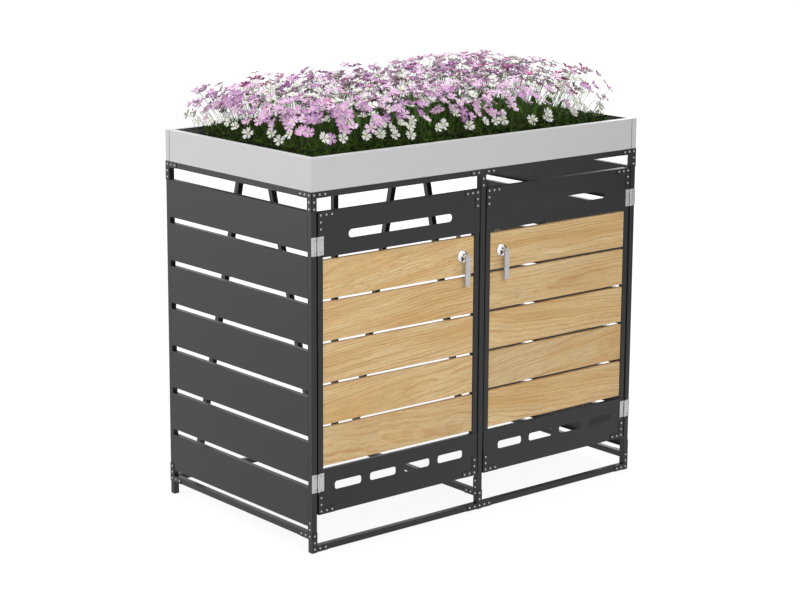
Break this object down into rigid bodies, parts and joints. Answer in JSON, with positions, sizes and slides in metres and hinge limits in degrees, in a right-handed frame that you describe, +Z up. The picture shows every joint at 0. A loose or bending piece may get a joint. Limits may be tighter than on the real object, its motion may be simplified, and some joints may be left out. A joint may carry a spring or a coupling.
{
  "type": "wheelie bin store",
  "caption": "Twin wheelie bin store: grey steel tube frame with slatted steel sides, two oak-boarded doors with slotted steel panels and locks, and a planted trough on top.",
  "frame": {"origin": "centre of the footprint, on the floor that the feet stand on, halfway between the front of the lock handles and the rear screw heads", "axes": "+Z up; -Y is the front, where the doors are; +X is to the right of someone who faces the doors"},
  "size_m": [1.4062, 0.8076, 1.4296],
  "materials": {
    "frame_paint": "satin",
    "door_paint": "satin",
    "planter_paint": "matte",
    "oak": "matte",
    "zinc": "satin",
    "hinge_steel": "satin",
    "satin_steel": "satin",
    "chrome": "polished",
    "black_plastic": "matte",
    "soil": "matte",
    "leaves": "matte",
    "petals": "matte"
  },
  "bodies": {
    "frame": {"door_stops": "frame_paint", "flowers": "petals", "foliage": "leaves", "foot_caps": "black_plastic", "frame_plates": "frame_paint", "frame_screws": "zinc", "hinge_pins": "hinge_steel", "hinge_post_leaves": "hinge_steel", "planter_bearers": "frame_paint", "planter_floor": "planter_paint", "planter_front_left": "planter_paint", "planter_rear_right": "planter_paint", "planter_straps": "planter_paint", "post_front_left": "frame_paint", "post_front_middle": "frame_paint", "post_front_right": "frame_paint", "post_rear_left": "frame_paint", "post_rear_middle": "frame_paint", "post_rear_right": "frame_paint", "rail_bottom_front": "frame_paint", "rail_bottom_left": "frame_paint", "rail_bottom_middle": "frame_paint", "rail_bottom_rear": "frame_paint", "rail_bottom_right": "frame_paint", "rail_top_front": "frame_paint", "rail_top_left": "frame_paint", "rail_top_middle": "frame_paint", "rail_top_rear": "frame_paint", "rail_top_right": "frame_paint", "rear_braces_left": "frame_paint", "rear_braces_right": "frame_paint", "side_slats_left": "frame_paint", "side_slats_right": "frame_paint", "soil": "soil"},
    "left_door": {"left_door_board_lugs": "door_paint", "left_door_boards": "oak", "left_door_bottom_panel": "door_paint", "left_door_corner_plates": "door_paint", "left_door_frame": "door_paint", "left_door_screws": "zinc", "left_door_top_panel": "door_paint", "left_hinge_leaves": "hinge_steel", "left_lock_back_nut": "zinc", "left_lock_rosette": "chrome"},
    "left_lock_handle": {"left_lock_bar": "satin_steel", "left_lock_cam": "zinc", "left_lock_spindle": "chrome"},
    "right_door": {"right_door_board_lugs": "door_paint", "right_door_boards": "oak", "right_door_bottom_panel": "door_paint", "right_door_corner_plates": "door_paint", "right_door_frame": "door_paint", "right_door_screws": "zinc", "right_door_top_panel": "door_paint", "right_hinge_leaves": "hinge_steel", "right_lock_back_nut": "zinc", "right_lock_rosette": "chrome"},
    "right_lock_handle": {"right_lock_bar": "satin_steel", "right_lock_cam": "zinc", "right_lock_spindle": "chrome"}
  },
  "joints": [
    {"name": "left_door_hinge", "type": "hinge", "parent": "frame", "child": "left_door", "pos_m": [-0.677, -0.3828, 0.6], "axis": [0, 0, -1], "range_deg": [0, 170]},
    {"name": "right_door_hinge", "type": "hinge", "parent": "frame", "child": "right_door", "pos_m": [0.677, -0.3828, 0.6], "axis": [0, 0, 1], "range_deg": [0, 170]},
    {"name": "left_lock_turn", "type": "hinge", "parent": "left_door", "child": "left_lock_handle", "pos_m": [-0.085, -0.3793, 0.8649], "axis": [0, 1, 0], "range_deg": [0, 90]},
    {"name": "right_lock_turn", "type": "hinge", "parent": "right_door", "child": "right_lock_handle", "pos_m": [0.085, -0.3793, 0.8649], "axis": [0, -1, 0], "range_deg": [0, 90]}
  ]
}
